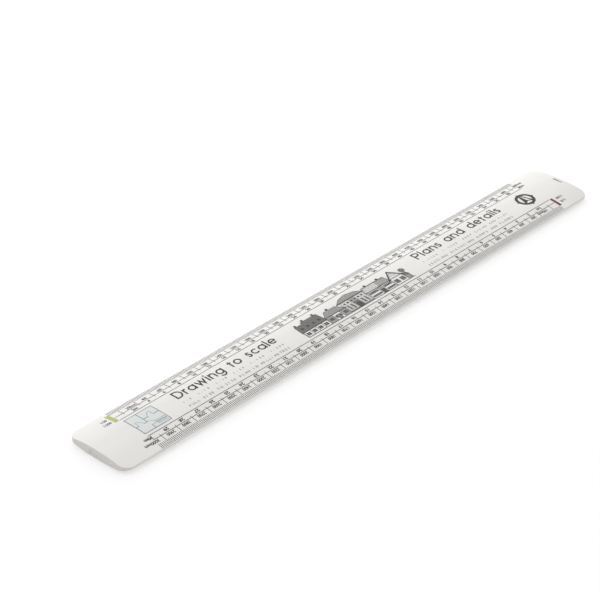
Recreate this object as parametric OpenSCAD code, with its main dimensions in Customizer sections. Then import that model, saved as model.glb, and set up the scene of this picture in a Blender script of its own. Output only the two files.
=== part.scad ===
// Oval-section architect's scale rule: one moulded body with printed scales on both faces.
// Frame: origin under the middle of the rule on the surface it lies on, +X along the length,
// +Y across the width, +Z up. Each print is a thin film of ink that lies on the body's face.

/* [Body] */
// Overall length
rule_length = 346; // [338:1:400]
// Overall width across the two ruling edges
rule_width = 40; // [39:1:60]
// Thickness at the crown
rule_thick = 5.3; // [4.5:0.1:8]
// Thickness of the ruling edges
edge_thick = 1.2; // [0.8:0.1:2]
// Radius of the four corners in plan
corner_r = 5.5; // [2:0.5:8]
// Width of the flat land along the crown of each face
land_width = 8; // [6:1:12]

/* [Moulding marks] */
// Length of the gate slot across the right-hand end of the upper face
slot_length = 6; // [4:0.5:9]
// Width of the gate slot
slot_width = 1.3; // [0.8:0.1:2]
// Depth of the gate slot
slot_depth = 0.9; // [0.3:0.1:1.5]
// Plastic left between the slot and the end of the rule
slot_wall = 1.9; // [0.4:0.1:3]
// Width of the ejector relief in the left-hand end
relief_width = 8.5; // [5:0.5:12]
// Height of the ejector relief
relief_height = 2.8; // [1.5:0.1:3.5]
// Depth of the ejector relief
relief_depth = 0.25; // [0.1:0.05:0.5]

/* [Scales] */
// Length of both scales on the upper face
upper_span = 300; // [300:1:300]
// Length of both scales on the underside
under_span = 320; // [320:1:320]
// How far the upper print sits to the right of the body's middle
print_shift = 0.9; // [0:0.1:1]
// Thickness of a film of ink
ink_thick = 0.03; // [0.02:0.01:0.05]
// Width of a graduation line
tick_width = 0.28; // [0.1:0.01:0.4]
// Bare strip between the ruling edge and the graduations
edge_gap = 0.2; // [0.1:0.05:0.4]
// How far a short graduation reaches from the edge
tick_reach = 3.6; // [3:0.1:4]
// Distance of the outer ruled line from the edge
outer_line = 7.1; // [6.8:0.1:7.5]
// Distance of the inner ruled line from the edge
inner_line = 10.6; // [10.2:0.1:10.8]
// Height of the figures
figure_height = 1.9; // [1.5:0.1:2]
// Pitch of the figures in the numbers of the outer row
figure_pitch = 1.25; // [1.1:0.05:1.3]
// Pitch of the figures in the numbers of the inner row
inner_pitch = 1.45; // [1.1:0.05:1.5]
// Pitch of the letters in a unit
unit_pitch = 1.3; // [1.1:0.05:1.4]

/* [Artwork] */
// Distance of the artwork's edges from the centre line
art_half = 7.5; // [6.5:0.1:8]

/* [Hidden] */

half_w = rule_width / 2;
half_t = rule_thick / 2;
half_e = edge_thick / 2;
half_land = land_width / 2;
// The face is an arc through the land's corner and the top of the ruling edge, which lie at these
// squared distances from the middle of the section.
corner_sq = half_land * half_land + half_t * half_t;
edge_sq = half_w * half_w + half_e * half_e;
arc_z = (edge_sq - corner_sq) / (2 * (half_e - half_t));
arc_r = sqrt(half_w * half_w + (half_e - arc_z) * (half_e - arc_z));
arc_facets = 720;
corner_facets = 96;
cut = 1;
strip_max = 4.2;
strip_gap = 0.02;
line_width = 0.36;
// How far a long graduation runs on past the outer ruled line
long_extra = 1.2;
// The colour bar stands just outside the zero of its scale, and the ratios stand outside the bar.
bar_gap = 0.45;
bar_start = 3.4;
lime_start = 2.6;
ratio_gap = 4;
ratio_height = 1.7;
outer_row = 5.45;
inner_row = 8.8;
// Ends of the two headings, the height of their capitals, and the middles of the two rows of notes below them
left_x = [-120, -51.7];
right_x = [53.5, 122.3];
title_y = [1.3, 7.5];
notes_y = [-2.3, -6.3];
notes_height = 1.6;
ink_black = "#2b2a29";

// ---- Body ----

// The section runs on past the ruling edges and the ends, and the plan outline cuts it to size.
module section() {
    intersection() {
        square([rule_width + 2 * cut, rule_thick], center = true);
        translate([0, arc_z]) circle(r = arc_r, $fn = arc_facets);
        translate([0, -arc_z]) circle(r = arc_r, $fn = arc_facets);
    }
}

module plan() {
    square([rule_length - 2 * corner_r, rule_width], center = true);
    square([rule_length, rule_width - 2 * corner_r], center = true);
    for (x = [-1, 1], y = [-1, 1])
        translate([x * (rule_length / 2 - corner_r), y * (half_w - corner_r)])
            circle(r = corner_r, $fn = corner_facets);
}

module gate_slot() {
    translate([rule_length / 2 - slot_wall - slot_width, -slot_length / 2, half_t - slot_depth])
        cube([slot_width, slot_length, slot_depth + cut]);
}

module ejector_relief() {
    translate([-rule_length / 2 - cut, -relief_width / 2, -relief_height / 2])
        cube([cut + relief_depth, relief_width, relief_height]);
}

module rule_body() {
    color("#efeeea") translate([0, 0, half_t]) difference() {
        intersection() {
            rotate([90, 0, 90]) linear_extrude(rule_length + 2 * cut, center = true) section();
            linear_extrude(rule_thick + cut, center = true) plan();
        }
        gate_slot();
        ejector_relief();
    }
}

// ---- Ink on the faces ----

// Stands its children on the upper face at distance y from the centre line.
module on_face(y) {
    if (abs(y) <= half_land) translate([0, y, half_t]) children();
    else translate([0, 0, arc_z]) rotate([-asin(y / arc_r), 0, 0]) translate([0, 0, arc_r]) children();
}

// A film from x0 to x1 and y0 to y1, in strips narrow enough to follow the arc.
module film(x0, x1, y0, y1) {
    strips = ceil((y1 - y0) / strip_max);
    step = (y1 - y0) / strips;
    for (i = [0 : strips - 1])
        on_face(y0 + (i + 0.5) * step)
            translate([x0, -step / 2, 0]) cube([x1 - x0, step - strip_gap, ink_thick]);
}

// A film that also crosses the edges of the land.
module patch(x0, x1, y0, y1) {
    bands = [[-half_w, -half_land], [-half_land, half_land], [half_land, half_w]];
    for (b = bands)
        if (min(y1, b[1]) - max(y0, b[0]) > strip_gap)
            film(x0, x1, max(y0, b[0]), min(y1, b[1]));
}

// Children are drawn on the upper face of the rule, with x = 0 at the middle of its scales.
module upper() { translate([print_shift, 0, half_t]) children(); }
// The same for the underside: the rule is turned over about its long axis.
module under() { translate([0, 0, half_t]) rotate([180, 0, 0]) children(); }
// The scale along the far edge starts at the left; the near edge's is the same, turned round.
module far_edge() { children(); }
module near_edge() { rotate([0, 0, 180]) children(); }

// Every graduation of one scale; those between two figures are long and cross the outer ruled line.
module ticks(span, step, figure_step) {
    for (i = [0 : round(span / step)]) {
        u = i * step;
        between = abs((u % figure_step) - figure_step / 2) < step / 4;
        reach = between ? outer_line - line_width / 2 - strip_gap : tick_reach;
        x0 = u - span / 2 - tick_width / 2;
        x1 = u - span / 2 + tick_width / 2;
        film(x0, x1, half_w - reach, half_w - edge_gap);
        if (between)
            film(x0, x1, half_w - outer_line - long_extra, half_w - outer_line - line_width / 2 - strip_gap);
    }
}

module ruled_lines(span) {
    for (d = [outer_line, inner_line])
        film(-span / 2, span / 2, half_w - d - line_width / 2, half_w - d + line_width / 2);
}

// One plate for each printed number. The first and last numbers carry their unit after the figures.
module figures(span, figure_step, outer_unit, inner_unit) {
    count = round(span / figure_step);
    for (i = [1 : count], row = [0, 1]) {
        value = i * (row == 0 ? outer_unit : inner_unit);
        width = len(str(value)) * (row == 0 ? figure_pitch : inner_pitch);
        letters = row == 0 && outer_unit >= 100 ? 2 : 1;
        unit = i == 1 || i == count ? letters * unit_pitch : 0;
        x = i * figure_step - span / 2;
        y = half_w - (row == 0 ? outer_row : inner_row);
        film(x - width / 2, x + width / 2 + unit, y - figure_height / 2, y + figure_height / 2);
    }
}

module ratios(span, outer_width, inner_width) {
    x = -span / 2 - ratio_gap;
    film(x - outer_width, x, half_w - outer_row - ratio_height / 2, half_w - outer_row + ratio_height / 2);
    film(x - inner_width, x, half_w - inner_row - ratio_height / 2, half_w - inner_row + ratio_height / 2);
}

module bar(span, width, start = bar_start) {
    film(-span / 2 - bar_gap - width, -span / 2 - bar_gap, half_w - inner_line, half_w - start);
}

// ---- Upper face ----

module ticks_1_20() { color(ink_black) upper() far_edge() ticks(upper_span, 1, 10); }
module lines_1_20() { color(ink_black) upper() far_edge() ruled_lines(upper_span); }
module figures_1_20() { color(ink_black) upper() far_edge() figures(upper_span, 10, 200, 2); }
module ratios_1_20() { color(ink_black) upper() far_edge() ratios(upper_span, 4.1, 5); }
module bar_1_20_lime() { color("#c8d645") upper() far_edge() bar(upper_span, 2.4, lime_start); }

module ticks_1_10() { color(ink_black) upper() near_edge() ticks(upper_span, 1, 10); }
module lines_1_10() { color(ink_black) upper() near_edge() ruled_lines(upper_span); }
module figures_1_10() { color(ink_black) upper() near_edge() figures(upper_span, 10, 100, 1); }
module ratios_1_10() { color(ink_black) upper() near_edge() ratios(upper_span, 4.1, 5); }
module bar_1_10_red() { color("#a3273c") upper() near_edge() bar(upper_span, 1.7); }

module plan_panel() { color("#c9d6da") upper() patch(-149.8, -132.4, -art_half, art_half); }
module title_left() { color(ink_black) upper() patch(left_x[0], left_x[1], title_y[0], title_y[1]); }
module notes_left() {
    color("#8d8b88") upper()
        for (y = notes_y)
            patch(left_x[0], left_x[1], y - notes_height / 2, y + notes_height / 2);
}
module house_row() { color("#5c5a58") upper() patch(-38.9, 41.3, -art_half, art_half); }
module title_right() { color(ink_black) upper() patch(right_x[0], right_x[1], title_y[0], title_y[1]); }
module notes_right() {
    color("#8d8b88") upper()
        for (y = notes_y)
            patch(right_x[0], right_x[1], y - notes_height / 2, y + notes_height / 2);
}
module north_badge() { color(ink_black) upper() patch(134.5, 147.3, -art_half, art_half); }

// ---- Underside ----

module ticks_1_5() { color(ink_black) under() far_edge() ticks(under_span, 2, 20); }
module lines_1_5() { color(ink_black) under() far_edge() ruled_lines(under_span); }
module figures_1_5() { color(ink_black) under() far_edge() figures(under_span, 20, 100, 1); }
module ratios_1_5() { color(ink_black) under() far_edge() ratios(under_span, 3, 4.1); }
module bar_1_5_blue() { color("#1f8f9c") under() far_edge() bar(under_span, 1.8); }

module ticks_1_1250() { color(ink_black) under() near_edge() ticks(under_span, 0.8, 8); }
module lines_1_1250() { color(ink_black) under() near_edge() ruled_lines(under_span); }
module figures_1_1250() { color(ink_black) under() near_edge() figures(under_span, 8, 10, 20); }
module ratios_1_1250() { color(ink_black) under() near_edge() ratios(under_span, 5.8, 5.8); }
module bar_1_1250_yellow() { color("#e9cf3a") under() near_edge() bar(under_span, 2); }

rule_body();
ticks_1_20();
lines_1_20();
figures_1_20();
ratios_1_20();
bar_1_20_lime();
ticks_1_10();
lines_1_10();
figures_1_10();
ratios_1_10();
bar_1_10_red();
plan_panel();
title_left();
notes_left();
house_row();
title_right();
notes_right();
north_badge();
ticks_1_5();
lines_1_5();
figures_1_5();
ratios_1_5();
bar_1_5_blue();
ticks_1_1250();
lines_1_1250();
figures_1_1250();
ratios_1_1250();
bar_1_1250_yellow();
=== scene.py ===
import math
from collections import namedtuple

import bmesh
import bpy
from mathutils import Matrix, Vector


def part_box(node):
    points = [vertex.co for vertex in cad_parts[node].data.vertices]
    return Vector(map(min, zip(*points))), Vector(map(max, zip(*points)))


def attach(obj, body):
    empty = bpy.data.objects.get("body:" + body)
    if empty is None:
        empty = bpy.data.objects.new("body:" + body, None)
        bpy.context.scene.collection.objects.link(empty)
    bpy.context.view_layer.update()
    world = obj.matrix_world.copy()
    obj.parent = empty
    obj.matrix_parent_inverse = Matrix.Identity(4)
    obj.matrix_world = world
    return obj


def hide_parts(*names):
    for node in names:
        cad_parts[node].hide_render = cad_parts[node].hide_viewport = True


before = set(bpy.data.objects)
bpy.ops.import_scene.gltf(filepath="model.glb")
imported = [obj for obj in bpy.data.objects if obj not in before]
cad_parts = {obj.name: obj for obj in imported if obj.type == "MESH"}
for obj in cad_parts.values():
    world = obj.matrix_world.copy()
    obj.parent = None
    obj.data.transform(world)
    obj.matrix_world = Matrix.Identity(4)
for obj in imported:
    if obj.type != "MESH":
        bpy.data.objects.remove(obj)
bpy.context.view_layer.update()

MM = 0.001
BODY = "root"

# ---- Sizes, from the frame ----

body_low, body_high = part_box("rule_body")
LENGTH = (body_high[0] - body_low[0]) / MM
WIDTH = (body_high[1] - body_low[1]) / MM
THICK = (body_high[2] - body_low[2]) / MM
HALF_L = LENGTH / 2
HALF_W = WIDTH / 2
HALF_T = THICK / 2

EDGE = 1.2                 # thickness of the ruling edges
CORNER = 5.5               # radius of the corners in plan
HALF_LAND = 4.0            # half the width of the flat land along the crown
SOFTEN = 0.2               # radius of every outer arris
PARTING = (0.035, 0.07)    # depth and half height of the parting line round the rim
SLOT = (1.3, 6.0, 0.9, 1.9)  # the gate slot's width, length and depth, and the wall left at the end
SLOT_SOFTEN = 0.15
RELIEF = (8.5, 2.8, 0.25)  # the length, height and depth of the relief in the other end
RELIEF_SOFTEN = 0.1
GRID_STEPS = (84, 26)      # squares in the grid over each face, along and across
CORNER_STEPS = 12
RIM_INSETS = (4.2, 3.0, 2.0, 1.25, 0.75)  # rings between the grid and the arris, from the rim inwards
ARRIS_STEPS = (1.0, 0.72, 0.47, 0.26, 0.12, 0.03, 0.0)  # rings round the arris, in its radius
ARC_Z = (HALF_W**2 + (EDGE / 2)**2 - HALF_LAND**2 - HALF_T**2) / (EDGE - THICK)
ARC_R = math.hypot(HALF_W, EDGE / 2 - ARC_Z)

PRINT_SHIFT = 0.9          # the upper print sits this far to the right of the body's middle
INK_TOP = 0.03             # height of the ink's surface above the face
INK_ROOT = -0.02           # how far the ink's mesh reaches into the body, so that no gap shows
LAYER = 0.001              # each later shape of a print lies this much higher, in turns of MOST_LAYERS
MOST_LAYERS = 8
STRIP = 1.25               # width of the strips a print is cut into, so that it bends with the face
STRIPS = 13                # how many of them there are on each side of the land

INNER_LINE = 10.6          # from the ruling edge to the inner ruled line
OUTER_ROW = 5.45           # from the ruling edge to the middle of each row of numbers
INNER_ROW = 8.8
FIGURE_HEIGHT = 1.9
ROW_PITCHES = (1.25, 1.45)  # from digit to digit, in the outer and inner rows
NARROW_PITCHES = (0.98, 1.3)  # the same on the 1:20 scale, set to the width of the photo's numbers there
RATIO_HEIGHT = 1.7
RATIO_GAP = 4.0            # from a ratio to its scale's zero
BAR_GAP = 0.45             # from a colour bar to its scale's zero
BAR_START = 3.4            # from the ruling edge to a colour bar
UPPER_SPAN = 300.0
UNDER_SPAN = 320.0
NOTE_ROWS = ((-2.3, 1.4), (-6.3, 1.5))  # the middle of each row of notes, across, and its height

# A scale: what its nodes' names end with, its length, the distance between numbers, what one number stands
# for in the outer and inner rows, the distances from digit to digit, the two ratios, the ink, width and start
# of its colour bar, whether it reads from the other side, and whether it is on the underside.
Scale = namedtuple("Scale", "key span step units pitches ratios bar turned underside")
SCALES = (
    Scale("1_20", UPPER_SPAN, 10, (200, 2), NARROW_PITCHES, ("1:20", "1:200"), ("lime", 2.4, 2.6),
          turned=False, underside=False),
    Scale("1_10", UPPER_SPAN, 10, (100, 1), ROW_PITCHES, ("1:10", "1:100"), ("red", 1.7, BAR_START),
          turned=True, underside=False),
    Scale("1_5", UNDER_SPAN, 20, (100, 1), ROW_PITCHES, ("1:5", "1:50"), ("blue", 1.8, BAR_START),
          turned=False, underside=True),
    Scale("1_1250", UNDER_SPAN, 8, (10, 20), ROW_PITCHES, ("1:1250", "1:2500"), ("yellow", 2.0, BAR_START),
          turned=True, underside=True),
)


def face_height(y):
    """Height of the upper face above the middle plane at distance y from the centre line."""
    if abs(y) <= HALF_LAND:
        return HALF_T
    return ARC_Z + math.sqrt(ARC_R**2 - y**2)


def face_normal(y):
    """The (y, z) parts of the upper face's outward normal."""
    if abs(y) <= HALF_LAND:
        return 0.0, 1.0
    return y / ARC_R, math.sqrt(1 - (y / ARC_R)**2)


# ---- Materials ----

class Nodes:
    """A new material's node tree, with short ways to add and join nodes."""

    def __init__(self, name):
        self.material = bpy.data.materials.new(name)
        self.material.use_nodes = True
        self.tree = self.material.node_tree
        self.tree.nodes.clear()
        out = self.tree.nodes.new("ShaderNodeOutputMaterial")
        self.shader = self.tree.nodes.new("ShaderNodeBsdfPrincipled")
        self.join(self.shader.outputs[0], out.inputs["Surface"])

    def join(self, source, target):
        self.tree.links.new(source, target)

    def set(self, **values):
        for name, value in values.items():
            self.shader.inputs[name.replace("_", " ")].default_value = value

    def part(self, source, axis):
        """The size, without its sign, of one part of a vector."""
        split = self.tree.nodes.new("ShaderNodeSeparateXYZ")
        self.join(source, split.inputs[0])
        return self.maths("ABSOLUTE", split.outputs[axis], 0)

    def facing(self):
        """The surface's normal."""
        return self.tree.nodes.new("ShaderNodeTexCoord").outputs["Normal"]

    def position(self, scale):
        """The place on the object, stretched by scale."""
        coords = self.tree.nodes.new("ShaderNodeTexCoord")
        mapping = self.tree.nodes.new("ShaderNodeMapping")
        mapping.inputs["Scale"].default_value = scale
        self.join(coords.outputs["Object"], mapping.inputs["Vector"])
        return mapping.outputs["Vector"]

    def noise(self, scale, detail=2.0, rough=0.5, stretch=(1, 1, 1)):
        node = self.tree.nodes.new("ShaderNodeTexNoise")
        node.inputs["Scale"].default_value = scale
        node.inputs["Detail"].default_value = detail
        node.inputs["Roughness"].default_value = rough
        self.join(self.position(stretch), node.inputs["Vector"])
        return node.outputs["Fac"]

    def ramp(self, source, stops):
        node = self.tree.nodes.new("ShaderNodeValToRGB")
        ramp = node.color_ramp
        while len(ramp.elements) < len(stops):
            ramp.elements.new(0.5)
        for element, (place, colour) in zip(ramp.elements, stops):
            element.position = place
            element.color = (*colour, 1)
        self.join(source, node.inputs["Fac"])
        return node.outputs["Color"]

    def span(self, source, low, high, to_low, to_high):
        """The source's range from low to high, mapped evenly onto another and held beyond its ends."""
        node = self.tree.nodes.new("ShaderNodeMapRange")
        for name, value in (("From Min", low), ("From Max", high), ("To Min", to_low), ("To Max", to_high)):
            node.inputs[name].default_value = value
        self.join(source, node.inputs["Value"])
        return node.outputs["Result"]

    def maths(self, operation, a, b):
        node = self.tree.nodes.new("ShaderNodeMath")
        node.operation = operation
        for socket, value in ((node.inputs[0], a), (node.inputs[1], b)):
            if isinstance(value, (int, float)):
                socket.default_value = value
            else:
                self.join(value, socket)
        return node.outputs[0]

    def mix(self, fac, source, colour):
        """The source's colour, blended with a plain one where fac is high."""
        node = self.tree.nodes.new("ShaderNodeMix")
        node.data_type = "RGBA"
        self.join(fac, node.inputs[0])
        self.join(source, node.inputs[6])
        node.inputs[7].default_value = (*colour, 1)
        return node.outputs[2]

    def bump(self, height, strength, distance):
        node = self.tree.nodes.new("ShaderNodeBump")
        node.inputs["Strength"].default_value = strength
        node.inputs["Distance"].default_value = distance
        self.join(height, node.inputs["Height"])
        self.join(node.outputs["Normal"], self.shader.inputs["Normal"])


def white_plastic():
    m = Nodes("white_plastic")
    m.set(IOR=1.5, Subsurface_Weight=0.12, Subsurface_Scale=0.0012)
    m.shader.inputs["Subsurface Radius"].default_value = (1.0, 0.9, 0.75)
    mottle = m.noise(28, 3, 0.6)
    grain = m.noise(5200, 2, 0.5)
    scuffs = m.noise(90, 4, 0.6, stretch=(1, 22, 6))
    base = m.ramp(mottle, [(0.3, (0.783, 0.765, 0.740)), (0.7, (0.823, 0.806, 0.786))])
    # Handling leaves smears beside the ruling edges. The whole rim, every upright face, is greyed as painted
    # shade, by its normal alone.
    edge_soil = m.span(m.part(m.position((1, 1, 1)), "Y"), (HALF_W - 1.0) * MM, HALF_W * MM, 0.0, 0.35)
    smears = m.span(m.noise(140, 4, 0.65), 0.45, 0.75, 0.0, 1.0)
    # Painted shade: the more upright a face is, the darker it is made, standing in for the shade the ends and
    # ruling edges get from the lights.
    rim_painted_shade = m.span(m.part(m.facing(), "Z"), 0.7, 0.1, 0.0, 0.6)
    # The grey blend is real smears near the ruling edges and painted shade on the upright faces.
    smears_and_painted_shade = m.maths("MAXIMUM", m.maths("MULTIPLY", edge_soil, smears), rim_painted_shade)
    m.join(m.mix(smears_and_painted_shade, base, (0.64, 0.62, 0.59)), m.shader.inputs["Base Color"])
    gloss = m.span(scuffs, 0.3, 0.75, 0.27, 0.44)
    m.join(gloss, m.shader.inputs["Roughness"])
    m.bump(m.maths("ADD", m.maths("MULTIPLY", grain, 0.6), m.maths("MULTIPLY", scuffs, 0.4)), 0.12, 0.00002)
    return m.material


def ink(name, colour, thin):
    """Printing ink: a matt film whose density varies a little; thin is the colour where it is worn."""
    m = Nodes(name)
    m.set(IOR=1.48)
    blotches = m.noise(420, 4, 0.7)
    speckle = m.noise(6500, 2, 0.5)
    wear = m.maths("ADD", m.maths("MULTIPLY", blotches, 0.55), m.maths("MULTIPLY", speckle, 0.45))
    m.join(m.ramp(wear, [(0.35, colour), (0.62, colour), (0.82, thin)]), m.shader.inputs["Base Color"])
    m.join(m.span(blotches, 0.3, 0.7, 0.48, 0.66), m.shader.inputs["Roughness"])
    m.bump(speckle, 0.1, 0.00001)
    return m.material


def light_table():
    """A pale matt floor that glows faintly, as a translucent table lit from below does."""
    m = Nodes("pale_floor")
    m.set(Roughness=0.9, Emission_Strength=0.37)
    m.shader.inputs["Emission Color"].default_value = (1, 1, 1, 1)
    m.join(m.ramp(m.noise(3, 3), [(0.3, (0.665, 0.665, 0.665)), (0.7, (0.68, 0.68, 0.68))]),
           m.shader.inputs["Base Color"])
    return m.material


PLASTIC = white_plastic()
# Each ink is a slot name, which the script doesn't use, and its material.
INKS = {
    "black": ("ink_black", ink("black_ink", (0.022, 0.021, 0.020), (0.085, 0.083, 0.080))),
    "slate": ("ink_grey", ink("slate_ink", (0.205, 0.202, 0.197), (0.31, 0.306, 0.300))),
    "ash": ("ink_grey", ink("ash_ink", (0.41, 0.405, 0.395), (0.53, 0.524, 0.510))),
    "grey": ("ink_grey", ink("grey_ink", (0.085, 0.083, 0.081), (0.18, 0.177, 0.173))),
    "blue_grey": ("ink_tint", ink("blue_grey_ink", (0.17, 0.205, 0.22), (0.28, 0.32, 0.335))),
    "tint": ("ink_tint", ink("tint_ink", (0.695, 0.725, 0.72), (0.73, 0.75, 0.745))),
    "lime": ("ink_lime", ink("lime_ink", (0.45, 0.485, 0.155), (0.56, 0.59, 0.30))),
    "red": ("ink_red", ink("red_ink", (0.165, 0.010, 0.024), (0.32, 0.08, 0.10))),
    "blue": ("ink_blue", ink("blue_ink", (0.005, 0.24, 0.32), (0.08, 0.36, 0.43))),
    "yellow": ("ink_yellow", ink("yellow_ink", (0.74, 0.56, 0.03), (0.80, 0.68, 0.20))),
}


# ---- Meshes ----

def new_piece(name, verts, faces, material):
    """An object made from vertices in millimetres."""
    mesh = bpy.data.meshes.new(name)
    mesh.from_pydata([(x * MM, y * MM, z * MM) for x, y, z in verts], [], faces)
    mesh.validate()
    mesh.materials.append(material)
    piece = bpy.data.objects.new(name, mesh)
    bpy.context.collection.objects.link(piece)
    return piece


def smooth(mesh, degrees):
    mesh.polygons.foreach_set("use_smooth", [True] * len(mesh.polygons))
    mesh.set_sharp_from_angle(angle=math.radians(degrees))


def spread(low, high, count):
    return [low + (high - low) * i / count for i in range(count + 1)]


def plan_loop(outset, xs, ys):
    """Plan points, counter-clockwise, at a distance outside the core rectangle that xs and ys span."""
    core_x = xs[-1]
    core_y = ys[-1]
    sides = [
        ([(core_x + outset, y) for y in ys], (core_x, core_y), 0),
        ([(x, core_y + outset) for x in reversed(xs)], (-core_x, core_y), 90),
        ([(-core_x - outset, y) for y in reversed(ys)], (-core_x, -core_y), 180),
        ([(x, -core_y - outset) for x in xs], (core_x, -core_y), 270),
    ]
    points = []
    for side, (cx, cy), start in sides:
        points += side
        for i in range(1, CORNER_STEPS):
            a = math.radians(start + 90 * i / CORNER_STEPS)
            points.append((cx + outset * math.cos(a), cy + outset * math.sin(a)))
    return points


def moulding():
    """The body: a grid over the core of each face, and rings from there round the softened rim."""
    xs = spread(-HALF_L + CORNER, HALF_L - CORNER, GRID_STEPS[0])
    ys = spread(-HALF_W + CORNER, HALF_W - CORNER, GRID_STEPS[1])
    insets = [*RIM_INSETS, *(SOFTEN * k for k in ARRIS_STEPS)]
    verts = []
    faces = []

    def drop(inset):
        """How far the rounded arris lies below the face at this distance from the rim."""
        inside = max(SOFTEN - inset, 0.0)
        return SOFTEN - math.sqrt(SOFTEN**2 - inside**2)

    def grid(sign):
        """The core of one face; gives back the loop of vertices round it."""
        start = len(verts)
        for x in xs:
            for y in ys:
                verts.append((x, y, sign * face_height(y)))
        n = len(ys)
        for i in range(len(xs) - 1):
            for j in range(n - 1):
                a = start + i * n + j
                quad = (a, a + n, a + n + 1, a + 1)
                faces.append(quad if sign > 0 else quad[::-1])
        corner = {}
        for i, x in enumerate(xs):
            for j, y in enumerate(ys):
                corner[(x, y)] = start + i * n + j
        loop = []
        for x, y in plan_loop(0.0, xs, ys):
            key = (min(xs, key=lambda v: abs(v - x)), min(ys, key=lambda v: abs(v - y)))
            loop.append(corner[key])
        return loop

    def ring(inset, height):
        start = len(verts)
        for x, y in plan_loop(CORNER - inset, xs, ys):
            verts.append((x, y, height(y)))
        return list(range(start, len(verts)))

    def bridge(upper, lower):
        for i in range(len(upper)):
            k = (i + 1) % len(upper)
            corners = [upper[i], lower[i], lower[k], upper[k]]
            distinct = list(dict.fromkeys(corners))
            if len(distinct) > 2:
                faces.append(tuple(distinct))

    loops = [grid(1)]
    for inset in insets:
        loops.append(ring(inset, lambda y, s=inset: face_height(y) - drop(s)))
    depth, reach = PARTING
    for inset, z in ((0.0, reach), (depth, 0.0), (0.0, -reach)):
        loops.append(ring(inset, lambda y, h=z: h))
    for inset in reversed(insets):
        loops.append(ring(inset, lambda y, s=inset: -face_height(y) + drop(s)))
    loops.append(grid(-1))
    for upper, lower in zip(loops, loops[1:]):
        bridge(upper, lower)
    verts = [(x, y, z + HALF_T) for x, y, z in verts]
    return new_piece("rule_moulding", verts, faces, PLASTIC)


def soft_box(name, low, high, soften):
    """A closed box between two corners, in millimetres, with its edges rounded."""
    shape = bmesh.new()
    bmesh.ops.create_cube(shape, size=1.0)
    for v in shape.verts:
        v.co = Vector([(a + b) / 2 + (b - a) * c for a, b, c in zip(low, high, v.co)]) * MM
    bmesh.ops.bevel(shape, geom=shape.edges[:], offset=soften * MM, segments=3, affect="EDGES", profile=0.5)
    mesh = bpy.data.meshes.new(name)
    shape.to_mesh(mesh)
    shape.free()
    mesh.materials.append(PLASTIC)
    box = bpy.data.objects.new(name, mesh)
    bpy.context.collection.objects.link(box)
    return box


def cut_away(piece, cutters):
    """Takes the cutters out of the piece, and removes them."""
    for cutter in cutters:
        cut = piece.modifiers.new("cut", "BOOLEAN")
        cut.operation = "DIFFERENCE"
        cut.solver = "EXACT"
        cut.object = cutter
    solid = bpy.data.meshes.new_from_object(piece.evaluated_get(bpy.context.evaluated_depsgraph_get()))
    piece.modifiers.clear()
    piece.data = solid
    for cutter in cutters:
        bpy.data.objects.remove(cutter)


def build_body():
    body = moulding()
    above, beyond = 2.0, 1.0   # how far the cutters stand out of the body
    width, length, depth, wall = SLOT
    end = HALF_L - wall
    slot = soft_box("slot_cutter", (end - width, -length / 2, THICK - depth),
                    (end, length / 2, THICK + above), SLOT_SOFTEN)
    length, height, depth = RELIEF
    relief = soft_box("relief_cutter", (-HALF_L - beyond, -length / 2, HALF_T - height / 2),
                      (-HALF_L + depth, length / 2, HALF_T + height / 2), RELIEF_SOFTEN)
    cut_away(body, [slot, relief])
    smooth(body.data, 32)
    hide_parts("rule_body")
    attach(body, BODY)


# ---- Prints ----

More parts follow.
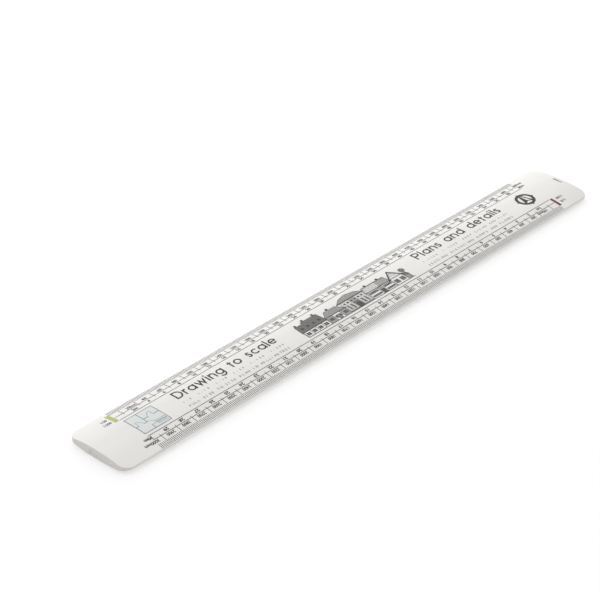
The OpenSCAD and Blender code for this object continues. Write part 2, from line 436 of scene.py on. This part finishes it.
class Print:
    """Flat shapes, drawn in millimetres on one face, that become one raised film of ink."""

    def __init__(self, turned=False, lift=0.0):
        self.flat = bmesh.new()
        self.level = self.flat.faces.layers.int.new("level")
        self.count = 0
        self.turned = turned
        self.lift = lift

    def shape(self, points, faces):
        """One more flat shape, a hair higher than the last."""
        sign = -1 if self.turned else 1
        corners = [self.flat.verts.new((sign * x, sign * y, 0)) for x, y in points]
        for face in faces:
            made = self.flat.faces.new([corners[i] for i in face])
            made[self.level] = self.count
        self.count += 1

    def area(self, points):
        self.shape(points, [tuple(range(len(points)))])

    def rect(self, x0, y0, x1, y1):
        self.area([(x0, y0), (x1, y0), (x1, y1), (x0, y1)])

    def stroke(self, points, width, closed=False):
        """A ribbon of even width along a line of points."""
        points = [Vector(p) for p in points]
        n = len(points)
        left = []
        right = []
        for i, p in enumerate(points):
            before = points[(i - 1) % n] if closed or i > 0 else None
            after = points[(i + 1) % n] if closed or i < n - 1 else None
            a = (p - before).normalized() if before is not None else None
            b = (after - p).normalized() if after is not None else None
            a = a or b
            b = b or a
            mean = (a + b).normalized()
            side = Vector((-mean.y, mean.x))
            reach = width / 2 / max(side.dot(Vector((-a.y, a.x))), 0.35)
            left.append(p + side * reach)
            right.append(p - side * reach)
        count = n if closed else n - 1
        quads = [(i, n + i, n + (i + 1) % n, (i + 1) % n) for i in range(count)]
        self.shape([tuple(v) for v in left + right], quads)

    def lettering(self, text, x, y, height, pitch, weight):
        """Figures in the built-in face, from x rightwards, standing on y."""
        verts, faces = lettering(text, weight)
        sx = pitch / FACE_PITCH
        sy = height / FACE_HEIGHT
        self.shape([(x + vx * sx, y + vy * sy) for vx, vy in verts], faces)

    def film(self, name, ink_name, stands_for, underside=False):
        """Bends the flat shapes onto the face and thickens them into closed solids."""
        flat = self.flat
        for y in [s * (HALF_LAND + k * STRIP) for s in (-1, 1) for k in range(STRIPS)]:
            bmesh.ops.bisect_plane(flat, geom=flat.verts[:] + flat.edges[:] + flat.faces[:],
                                   dist=1e-5, plane_co=(0, y, 0), plane_no=(0, 1, 0))
        flat.normal_update()
        for face in flat.faces:
            if face.normal.z < 0:
                face.normal_flip()
        flat.verts.ensure_lookup_table()
        flat.verts.index_update()
        count = len(flat.verts)
        level = {v.index: face[self.level] % MOST_LAYERS for face in flat.faces for v in face.verts}

        def placed(v, height):
            """Where a flat vertex goes, at a height above the face."""
            ny, nz = face_normal(v.co.y)
            y = v.co.y + ny * height
            z = face_height(v.co.y) + nz * height
            if underside:
                return v.co.x, -y, HALF_T - z
            return v.co.x + PRINT_SHIFT, y, HALF_T + z

        verts = [placed(v, INK_TOP + self.lift + LAYER * level[v.index]) for v in flat.verts]
        verts += [placed(v, INK_ROOT) for v in flat.verts]
        faces = []
        for face in flat.faces:
            loop = [v.index for v in face.verts]
            faces.append(tuple(loop))
            faces.append(tuple(i + count for i in reversed(loop)))
        for edge in flat.edges:
            if len(edge.link_faces) == 1:
                loop = [v.index for v in edge.link_faces[0].verts]
                a, b = (v.index for v in edge.verts)
                if loop[(loop.index(a) + 1) % len(loop)] != b:
                    a, b = b, a
                faces.append((b, a, a + count, b + count))
        flat.free()
        record_slot, material = INKS[ink_name]
        piece = new_piece(name, verts, faces, material)
        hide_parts(stands_for)
        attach(piece, BODY)


def on_circle(x, y, radius, degrees):
    a = math.radians(degrees)
    return x + radius * math.cos(a), y + radius * math.sin(a)


def arc(x, y, radius, start, end, steps=14):
    return [on_circle(x, y, radius, start + (end - start) * i / steps) for i in range(steps + 1)]


# Weights of the small type: how far its outline is moved out, in the built-in face's units.
PLAIN = 0.0
MEDIUM = 0.026
BOLD = 0.038
known_lettering = {}


def lettering(text, weight):
    """Flat vertices and faces of a line of text in the built-in face, welded, in the face's units."""
    if (text, weight) in known_lettering:
        return known_lettering[text, weight]
    curve = bpy.data.curves.new("lettering", "FONT")
    curve.body = text
    curve.resolution_u = 3
    curve.offset = weight
    holder = bpy.data.objects.new("lettering", curve)
    bpy.context.collection.objects.link(holder)
    mesh = bpy.data.meshes.new_from_object(holder.evaluated_get(bpy.context.evaluated_depsgraph_get()))
    shape = bmesh.new()
    shape.from_mesh(mesh)
    bmesh.ops.remove_doubles(shape, verts=shape.verts[:], dist=1e-5)
    bmesh.ops.dissolve_degenerate(shape, edges=shape.edges[:], dist=1e-6)
    shape.verts.index_update()
    verts = [(v.co.x, v.co.y) for v in shape.verts]
    faces = [tuple(v.index for v in f.verts) for f in shape.faces]
    shape.free()
    bpy.data.objects.remove(holder)
    bpy.data.curves.remove(curve)
    bpy.data.meshes.remove(mesh)
    known_lettering[text, weight] = (verts, faces)
    return verts, faces


def reach_of(text, axis):
    """How far a line of figures reaches to the right (axis 0) or up (axis 1), in the built-in face's units."""
    verts = lettering(text, BOLD)[0]
    return max(v[axis] for v in verts)


FACE_PITCH = reach_of("00", 0) - reach_of("0", 0)
FACE_HEIGHT = reach_of("1", 1)


def ruled_figures(scale):
    """Both rows of numbers of one scale. The first and last numbers carry their unit."""
    prints = Print(scale.turned)
    count = round(scale.span / scale.step)
    outer, inner = scale.units
    rows = ((OUTER_ROW, outer, "mm" if outer >= 100 else "m", scale.pitches[0], MEDIUM),
            (INNER_ROW, inner, "m", scale.pitches[1], BOLD))
    for i in range(1, count + 1):
        for row, stands_for, unit, pitch, weight in rows:
            text = str(i * stands_for)
            x = i * scale.step - scale.span / 2 - len(text) * pitch / 2
            if i in (1, count):
                text += unit
            prints.lettering(text, x, HALF_W - row - FIGURE_HEIGHT / 2, FIGURE_HEIGHT, pitch, weight)
    prints.film(f"figures_{scale.key}_print", "black", f"figures_{scale.key}", scale.underside)


def ratio_labels(scale):
    """The two ratios beside a scale's zero."""
    prints = Print(scale.turned)
    pitch = ROW_PITCHES[0] * RATIO_HEIGHT / FIGURE_HEIGHT
    for row, text in zip((OUTER_ROW, INNER_ROW), scale.ratios):
        width = reach_of(text, 0) * pitch / FACE_PITCH
        x = -scale.span / 2 - RATIO_GAP - width
        prints.lettering(text, x, HALF_W - row - RATIO_HEIGHT / 2, RATIO_HEIGHT, pitch, MEDIUM)
    prints.film(f"ratios_{scale.key}_print", "black", f"ratios_{scale.key}", scale.underside)


def colour_bar(scale):
    """The bar beside a scale's zero, from the inner ruled line out to its start."""
    ink_name, width, start = scale.bar
    prints = Print(scale.turned)
    left = -scale.span / 2 - BAR_GAP - width
    prints.rect(left, HALF_W - INNER_LINE, left + width, HALF_W - start)
    prints.film(f"{ink_name}_bar", ink_name, f"bar_{scale.key}_{ink_name}", scale.underside)


def scales():
    """The figures, ratios and colour bars of the four edges."""
    for print_part in (ruled_figures, ratio_labels, colour_bar):
        for scale in SCALES:
            print_part(scale)


# ---- Artwork ----

CAP = 6.2                  # height of the heading's capitals
PEN = 0.87                 # width of its strokes
NIB = PEN / 2
BOWL = 1.8                 # radius of the round letters, to the middle of the stroke
X_HEIGHT = 2 * BOWL + PEN
ARCH = 1.5                 # radius of the arches of n and r
MID = BOWL + NIB           # middle of the round letters
STEM = 2 * BOWL + NIB      # place of the stem to the right of a bowl


def letter_shapes():
    """The heading's letters: the width of each, and the lines that the pen follows."""
    ring = arc(MID, MID, BOWL, 0, 360, 28)[:-1]
    shoulder = arc(NIB + ARCH, X_HEIGHT - NIB - ARCH, ARCH, 180, 0) + [(NIB + 2 * ARCH, 0)]
    top = CAP - NIB
    half_d = (top - NIB) / 2
    cap_bowl = arc(1.9, NIB + half_d, half_d, 90, -90, 20)
    p_bowl = arc(2.3, top - ARCH, ARCH, 90, -90)
    left_stem = [(NIB, 0), (NIB, X_HEIGHT)]
    right_stem = [(STEM, 0), (STEM, X_HEIGHT)]
    curl = (X_HEIGHT - PEN) / 4
    low_s = arc(NIB + curl, NIB + curl, curl, 90, -165, 16)[1:]
    high_s = arc(NIB + curl, NIB + 3 * curl, curl, 15, 270, 16)
    return {
        "D": (2.3 + half_d, [[(NIB, NIB), (NIB, top)] + cap_bowl, "closed"]),
        "P": (2.7 + ARCH, [[(NIB, 0), (NIB, top)] + p_bowl + [(NIB, top - 2 * ARCH)]]),
        "a": (STEM + NIB, [ring, "closed", right_stem]),
        "c": (3.9, [arc(MID, MID, BOWL, 42, 318, 22)]),
        "d": (STEM + NIB, [ring, "closed", [(STEM, 0), (STEM, CAP)]]),
        "e": (STEM + NIB, [arc(MID, MID, BOWL, 0, 318, 26), [(NIB, MID), (STEM, MID)]]),
        "g": (STEM + NIB, [ring, "closed", [(STEM, X_HEIGHT)] + arc(MID, NIB / 2, BOWL, 0, -150, 16)]),
        "i": (PEN, [left_stem, [(NIB, CAP - 1.25 * PEN), (NIB, CAP - 0.1 * PEN)]]),
        "l": (PEN, [[(NIB, 0), (NIB, CAP)]]),
        "n": (2 * ARCH + PEN, [left_stem, shoulder]),
        "o": (STEM + NIB, [ring, "closed"]),
        "r": (2.3, [left_stem, arc(NIB + ARCH, X_HEIGHT - NIB - ARCH, ARCH, 180, 82)]),
        "s": (2 * curl + PEN, [high_s + low_s]),
        "t": (2.3, [[(1.05, 0), (1.05, CAP - PEN)], [(0, X_HEIGHT - NIB), (2.3, X_HEIGHT - NIB)]]),
        "w": (6.0, [[(0.35, X_HEIGHT), (1.7, NIB), (3.0, X_HEIGHT - NIB), (4.3, NIB), (5.65, X_HEIGHT)]]),
        " ": (2.6, []),
    }


def heading(name, node, text):
    """A heading in round, even-stroked letters that fills the width of its CAD node."""
    low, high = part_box(node)
    left = low[0] / MM - PRINT_SHIFT
    width = (high[0] - low[0]) / MM
    shapes = letter_shapes()
    gap = (width - sum(shapes[letter][0] for letter in text)) / (len(text) - 1)
    prints = Print()
    base = high[1] / MM - CAP
    x = left
    for letter in text:
        letter_width, lines = shapes[letter]
        for i, line in enumerate(lines):
            if line == "closed":
                continue
            closed = i + 1 < len(lines) and lines[i + 1] == "closed"
            prints.stroke([(x + px, base + py) for px, py in line], PEN, closed)
        x += letter_width + gap
    prints.film(name, "black", node)


def notes(name, node, upper, lower):
    """Two rows of small, widely spaced letters that fill the width of their CAD node."""
    low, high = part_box(node)
    left = low[0] / MM - PRINT_SHIFT
    width = (high[0] - low[0]) / MM
    prints = Print()
    last_letter = 0.6          # the width of the last letter, in steps from letter to letter
    for text, (middle, height) in zip((upper, lower), NOTE_ROWS):
        pitch = width / (len(text) - 1 + last_letter)
        size = height / FACE_HEIGHT
        for i, letter in enumerate(text):
            if letter == " ":
                continue
            verts, faces = lettering(letter, PLAIN)
            near = min(v[0] for v in verts)
            prints.shape([(left + i * pitch + (vx - near) * size, middle - height / 2 + vy * size)
                          for vx, vy in verts], faces)
    prints.film(name, "grey", node)


def floor_plan():
    """A tinted panel with a plain floor plan drawn over it: walls, doors with their swings, and stairs."""
    low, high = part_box("plan_panel")
    x0, y0 = low[0] / MM - PRINT_SHIFT, low[1] / MM
    x1, y1 = high[0] / MM - PRINT_SHIFT, high[1] / MM
    width = x1 - x0
    depth = y1 - y0
    tint = Print()
    tint.rect(x0, y0, x1, y1)
    tint.film("plan_tint", "tint", "plan_panel")

    lines = Print(lift=LAYER)
    pen = 0.42
    fine_pen = 0.24
    edge = pen / 2
    outline = [(x0 + edge, y0 + edge), (x1 - edge, y0 + edge), (x1 - edge, y1 - edge), (x0 + edge, y1 - edge)]
    lines.stroke(outline, pen, closed=True)

    def at(u, v):
        """A place in the panel, given in parts of its width and depth."""
        return x0 + u * width, y0 + v * depth

    inner_walls = [((0.42, 0), (0.42, 0.2)), ((0.42, 0.42), (0.42, 1)), ((0, 0.42), (0.12, 0.42)),
                   ((0.3, 0.42), (0.42, 0.42)), ((0.42, 0.6), (0.6, 0.6)), ((0.78, 0.6), (1, 0.6))]
    for start, end in inner_walls:
        lines.stroke([at(*start), at(*end)], pen)
    # Each door: its hinge, its width, and the angles of the open leaf and of the doorway.
    doors = [((0.42, 0.2), 0.22 * depth, 0, 90), ((0.12, 0.42), 0.18 * width, 90, 0),
             ((0.78, 0.6), 0.18 * width, 90, 180)]
    for hinge, leaf, opened, shut in doors:
        x, y = at(*hinge)
        lines.stroke([(x, y), on_circle(x, y, leaf, opened)], fine_pen)
        lines.stroke(arc(x, y, leaf, opened, shut, 10), fine_pen)
    for i in range(8):
        u = 0.62 + 0.045 * i
        lines.stroke([at(u, 0.08), at(u, 0.32)], fine_pen)
    lines.stroke([at(0.6, 0.2), at(0.96, 0.2)], fine_pen)
    lines.film("plan_lines", "blue_grey", "plan_panel")


class Street:
    """A row of plain buildings: tones in two prints, outlines and dark parts in a third above them."""

    def __init__(self, base):
        self.base = base
        self.soft = Print()
        self.mid = Print(lift=LAYER)
        self.dark = Print(lift=LAYER * MOST_LAYERS)
        self.pen = 0.28
        self.fine_pen = 0.13
        self.glazing_bar = 0.22

    def roof(self, points, tone, courses):
        """A roof, filled unless it is pale, with lines along its courses of tiles."""
        points = [(x, self.base + y) for x, y in points]
        if tone:
            tone.area(points)
        self.dark.stroke(points, self.pen, closed=True)
        low = min(y for x, y in points)
        high = max(y for x, y in points)
        y = low + courses
        while y < high - 0.3:
            cuts = sorted(crossings(points, y))
            if len(cuts) >= 2:
                self.dark.stroke([(cuts[0], y), (cuts[-1], y)], self.fine_pen)
            y += courses

    def wall(self, x0, x1, height, tone=None, boards=0):
        """A wall, filled if it has a tone, with this many upright boards."""
        b = self.base
        if tone:
            tone.rect(x0, b, x1, b + height)
        self.dark.stroke([(x0, b), (x1, b), (x1, b + height), (x0, b + height)], self.pen, closed=True)
        for i in range(1, boards):
            x = x0 + (x1 - x0) * i / boards
            self.dark.stroke([(x, b + 0.3), (x, b + height - 0.3)], self.fine_pen)

    def window(self, x, y, width, height, bars=1):
        """A dark opening with pale glazing bars left between its panes."""
        pane = (width - self.glazing_bar * bars) / (bars + 1)
        for i in range(bars + 1):
            left = x - width / 2 + i * (pane + self.glazing_bar)
            self.dark.rect(left, self.base + y, left + pane, self.base + y + height)

    def shutters(self, x, y, width, height):
        """A window between two shutters."""
        gap, half = 0.45, 0.35     # from the window to a shutter's middle, and half a shutter's width
        for side in (-1, 1):
            middle = x + side * (width / 2 + gap)
            self.mid.rect(middle - half, self.base + y, middle + half, self.base + y + height)
        self.window(x, y, width, height)

    def door(self, x, width, height):
        self.mid.rect(x - width / 2, self.base, x + width / 2, self.base + height)
        self.dark.stroke([(x - width / 2, self.base), (x - width / 2, self.base + height),
                          (x + width / 2, self.base + height), (x + width / 2, self.base)], self.pen)

    def chimney(self, x, y, width=1.3, height=1.6):
        self.dark.rect(x - width / 2, self.base + y, x + width / 2, self.base + y + height)

    def tree(self, x, height, radius):
        """A trunk under a crown of eight lobes, with a smaller outline drawn inside it."""
        lobes, points = 8, 64
        middle = self.base + height - radius
        self.dark.stroke([(x, self.base), (x, middle)], 0.35)
        for scale in (1.0, 0.55):
            crown = []
            for i in range(points):
                turn = 360 * i / points
                reach = radius * scale * (0.86 + 0.2 * abs(math.sin(math.radians(turn * lobes / 2))))
                crown.append(on_circle(x, middle, reach, turn))
            if scale == 1.0:
                self.mid.area(crown)
            self.dark.stroke(crown, 0.18, closed=True)


def crossings(points, y):
    """Where a closed outline crosses the level y."""
    found = []
    for (x0, y0), (x1, y1) in zip(points, points[1:] + points[:1]):
        if (y0 - y) * (y1 - y) < 0:
            found.append(x0 + (x1 - x0) * (y - y0) / (y1 - y0))
    return found


def terrace(street, x):
    """Plain fronts under one deep, dark, stepped roof."""
    base = street.base
    street.wall(x + 0.3, x + 17.4, 4.6)
    street.roof([(x, 4.4), (x + 17.8, 4.4), (x + 17.2, 12.3), (x + 6.2, 12.3), (x + 6.0, 10.9),
                 (x + 0.8, 10.9)], street.mid, 0.46)
    for i in range(4):
        street.window(x + 2.5 + 4.2 * i, 1.1, 2.3, 2.3)
        street.window(x + 3.0 + 4.0 * i, 6.6, 1.5, 1.7)
    for dx in (0.35, 4.6, 8.8, 13.0, 17.2):
        street.mid.rect(x + dx, base, x + dx + 0.5, base + 4.4)
    street.chimney(x + 1.9, 10.9)
    street.chimney(x + 8.2, 12.3)
    street.chimney(x + 15.6, 12.3)


def inn(street, x):
    """A hipped roof over boarded walls and shutters."""
    street.wall(x, x + 14.4, 5.6)
    street.roof([(x - 0.2, 5.4), (x + 15.2, 5.4), (x + 11.4, 10.2), (x + 3.4, 10.2)], street.soft, 0.5)
    for x0, x1 in ((x, x + 4.6), (x + 9.8, x + 14.4)):
        street.wall(x0, x1, 5.4, street.soft, 7)
    for dx in (2.3, 12.1):
        street.shutters(x + dx, 1.7, 1.6, 2.3)
    street.door(x + 7.2, 1.9, 3.9)
    street.window(x + 5.6, 1.7, 0.8, 2.2, 0)
    street.window(x + 8.8, 1.7, 0.8, 2.2, 0)
    street.chimney(x + 6.4, 10.2, 1.6, 1.5)


def hall(street, x):
    """A wide roof over close uprights, tall windows and a portal."""
    base = street.base
    street.wall(x, x + 16.4, 9.6, None, 20)
    street.soft.rect(x + 5.7, base, x + 10.7, base + 9.6)
    street.roof([(x - 1.9, 9.6), (x + 18.1, 9.6), (x + 13.8, 12.9), (x + 8.2, 14.2), (x + 2.6, 12.9)],
                street.soft, 0.5)
    street.dark.stroke([(x - 1.9, base + 9.7), (x + 18.1, base + 9.7)], 0.6)
    for dx in (1.9, 4.3, 12.1, 14.5):
        street.window(x + dx, 1.4, 1.2, 4.3)
    for dx in (1.9, 4.3, 7.1, 9.3, 12.1, 14.5):
        street.window(x + dx, 7.0, 1.1, 1.2, 0)
    street.door(x + 8.2, 3.4, 5.8)
    street.window(x + 8.2, 0.0, 2.6, 4.6, 2)
    street.mid.rect(x, base, x + 16.4, base + 0.9)


def long_range(street, x):
    """A pale roof over two ribbons of windows and a boarded porch."""
    base = street.base
    street.wall(x, x + 17.4, 6.3)
    street.roof([(x - 0.5, 6.1), (x + 18.2, 6.1), (x + 17.0, 11.3), (x + 1.0, 11.3)], None, 0.74)
    street.soft.area([(x + 9.4, base + 6.1), (x + 18.2, base + 6.1),
                      (x + 17.0, base + 11.3), (x + 10.4, base + 11.3)])
    street.dark.stroke([(x - 0.5, base + 6.2), (x + 18.2, base + 6.2)], 0.5)
    street.dark.stroke([(x + 1.0, base + 11.2), (x + 17.0, base + 11.2)], 0.45)
    for x0, x1, bars in ((0.6, 6.8, 5), (11.4, 16.8, 4)):
        street.window(x + (x0 + x1) / 2, 3.6, x1 - x0, 1.9, bars)
        street.window(x + (x0 + x1) / 2, 0.9, x1 - x0, 1.5, bars)
    street.wall(x + 7.4, x + 10.8, 6.0, street.soft, 6)
    street.door(x + 9.1, 1.7, 3.6)
    street.chimney(x + 4.4, 11.3, 1.3, 1.4)
    street.chimney(x + 13.6, 11.3, 1.3, 1.4)


def gabled_house(street, x):
    """A gable front with shutters, and a lean-to beside it."""
    base = street.base
    street.wall(x, x + 8.8, 6.2)
    street.dark.stroke([(x - 0.9, base + 5.4), (x + 4.4, base + 12.8), (x + 9.7, base + 5.4)], 0.75)
    street.dark.stroke([(x - 0.1, base + 5.2), (x + 4.4, base + 11.4), (x + 8.9, base + 5.2)], 0.25)
    street.dark.stroke([(x, base + 6.2), (x + 8.8, base + 6.2)], 0.35)
    for dx in (-2.6, -1.3, 0.0, 1.3, 2.6):
        street.dark.stroke([(x + 4.4 + dx, base + 6.2), (x + 4.4 + dx, base + 10.6 - 1.38 * abs(dx))], 0.22)
    street.shutters(x + 2.3, 1.3, 1.5, 3.3)
    street.shutters(x + 6.5, 1.3, 1.5, 3.3)
    street.roof([(x + 8.9, 3.6), (x + 12.2, 3.6), (x + 11.4, 6.0), (x + 8.9, 6.6)], street.mid, 0.45)
    street.wall(x + 8.9, x + 11.9, 3.6, street.soft, 6)


def house_row():
    """The street, from left to right, with a tree at its end and a ground line under it."""
    low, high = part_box("house_row")
    street = Street(low[1] / MM)
    left = low[0] / MM - PRINT_SHIFT
    right = high[0] / MM - PRINT_SHIFT
    terrace(street, left)
    inn(street, left + 17.6)
    hall(street, left + 32.2)
    long_range(street, left + 49.2)
    gabled_house(street, right - 13.2)
    street.tree(right - 1.9, 10.2, 1.75)
    ground = street.base + 0.1
    street.dark.stroke([(left, ground), (right, ground)], 0.3)
    street.soft.film("house_tones_light", "ash", "house_row")
    street.mid.film("house_tones_dark", "slate", "house_row")
    street.dark.film("house_lines", "black", "house_row")


def badge():
    """A plain north point: a ring with an arrow through it, filled on one side, and three marks."""
    low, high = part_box("north_badge")
    x = ((low[0] + high[0]) / 2) / MM - PRINT_SHIFT
    y = (low[1] + high[1]) / 2 / MM
    across = (high[0] - low[0]) / MM / 2
    up = (high[1] - low[1]) / MM / 2
    band = 1.7
    pen = 0.9
    ring = across - 1.5
    foot = (3.4, -3.9)
    prints = Print()
    prints.area([(x, y + up), (x - foot[0], y + foot[1]), (x, y - 1.9)])
    hollow = [(x + pen / 4, y + up - 2 * pen), (x + foot[0] - pen / 2, y + foot[1] + pen / 2), (x, y - 1.5)]
    prints.stroke(hollow, pen)
    prints.stroke(arc(x, y, ring, 0, 360, 48)[:-1], band, closed=True)
    for angle in (0, 180, 270):
        prints.stroke([on_circle(x, y, ring, angle), on_circle(x, y, across, angle)], pen)
    prints.film("north_badge_print", "black", "north_badge")


def artwork():
    """The printed blocks between the two scales of the upper face."""
    heading("title_left_print", "title_left", "Drawing to scale")
    heading("title_right_print", "title_right", "Plans and details")
    notes("notes_left_print", "notes_left",
          "1:5  1:10  1:20  1:50  1:100  1:200", "FULL SIZE TO SITE PLAN IN MILLIMETRES")
    notes("notes_right_print", "notes_right",
          "1:1250  1:2500  KEEP CLEAN AND FLAT", "SECTIONS ELEVATIONS ROOFS AND FLOORS")
    floor_plan()
    house_row()
    badge()


def ink_on_cad_nodes():
    """The graduations and ruled lines keep their CAD shapes and take the ink."""
    for name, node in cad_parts.items():
        if name.startswith(("ticks_", "lines_")):
            node.data.materials.clear()
            node.data.materials.append(INKS["black"][1])


build_body()
scales()
artwork()
ink_on_cad_nodes()


# ---- Stage ----

def floor():
    """A square floor under the rule, in metres."""
    half = 3.0
    corners = [(-half, -half, 0), (half, -half, 0), (half, half, 0), (-half, half, 0)]
    mesh = bpy.data.meshes.new("floor")
    mesh.from_pydata(corners, [], [(0, 1, 2, 3)])
    mesh.materials.append(light_table())
    plane = bpy.data.objects.new("floor", mesh)
    bpy.context.collection.objects.link(plane)


def softbox(name, place, aim, size, power):
    """A white rectangular light, in metres and watts."""
    light = bpy.data.lights.new(name, "AREA")
    light.shape = "RECTANGLE"
    light.size, light.size_y = size
    light.energy = power
    lamp = bpy.data.objects.new(name, light)
    lamp.location = place
    lamp.rotation_euler = (Vector(aim) - Vector(place)).to_track_quat("-Z", "Y").to_euler()
    bpy.context.collection.objects.link(lamp)


def studio():
    """A white room, brighter behind and above the rule than on the camera's side, with two soft lights."""
    world = bpy.data.worlds.new("studio")
    world.use_nodes = True
    tree = world.node_tree
    tree.nodes["Background"].inputs["Color"].default_value = (1, 1, 1, 1)
    coords = tree.nodes.new("ShaderNodeTexCoord")
    facing = tree.nodes.new("ShaderNodeVectorMath")
    facing.operation = "DOT_PRODUCT"
    facing.inputs[1].default_value = Vector((0.48, 0.4, 0.8)).normalized()
    level = tree.nodes.new("ShaderNodeMapRange")
    tree.links.new(coords.outputs["Generated"], facing.inputs[0])
    tree.links.new(facing.outputs["Value"], level.inputs["Value"])
    for name, value in (("From Min", -0.4), ("From Max", 0.6), ("To Min", 0.2), ("To Max", 0.93)):
        level.inputs[name].default_value = value
    tree.links.new(level.outputs["Result"], tree.nodes["Background"].inputs["Strength"])
    bpy.context.scene.world = world
    softbox("overhead", place=(-0.1, 0.2, 1.35), aim=(0, 0, 0), size=(1.6, 1.2), power=3)
    softbox("backdrop", place=(0.95, 1.45, 0.5), aim=(0, 0, 0.05), size=(2.4, 0.8), power=8)


def camera():
    """The viewpoint: the far end up to the right, seen from above through a long lens."""
    turn = math.radians(46.63)
    pitch = math.radians(32.63)
    distance = 1.135
    aim = Vector((-10.25, 25.0, 0)) * MM
    level = math.cos(pitch)
    look = Vector((math.sin(turn) * level, math.cos(turn) * level, -math.sin(pitch)))
    lens = bpy.data.cameras.new("camera")
    lens.lens = 133.4
    lens.sensor_width = 36
    lens.clip_start = 0.01
    eye = bpy.data.objects.new("camera", lens)
    eye.location = aim - look * distance
    eye.rotation_euler = look.to_track_quat("-Z", "Y").to_euler()
    bpy.context.collection.objects.link(eye)
    bpy.context.scene.camera = eye


floor()
studio()
camera()
bpy.context.scene.view_settings.view_transform = "Standard"
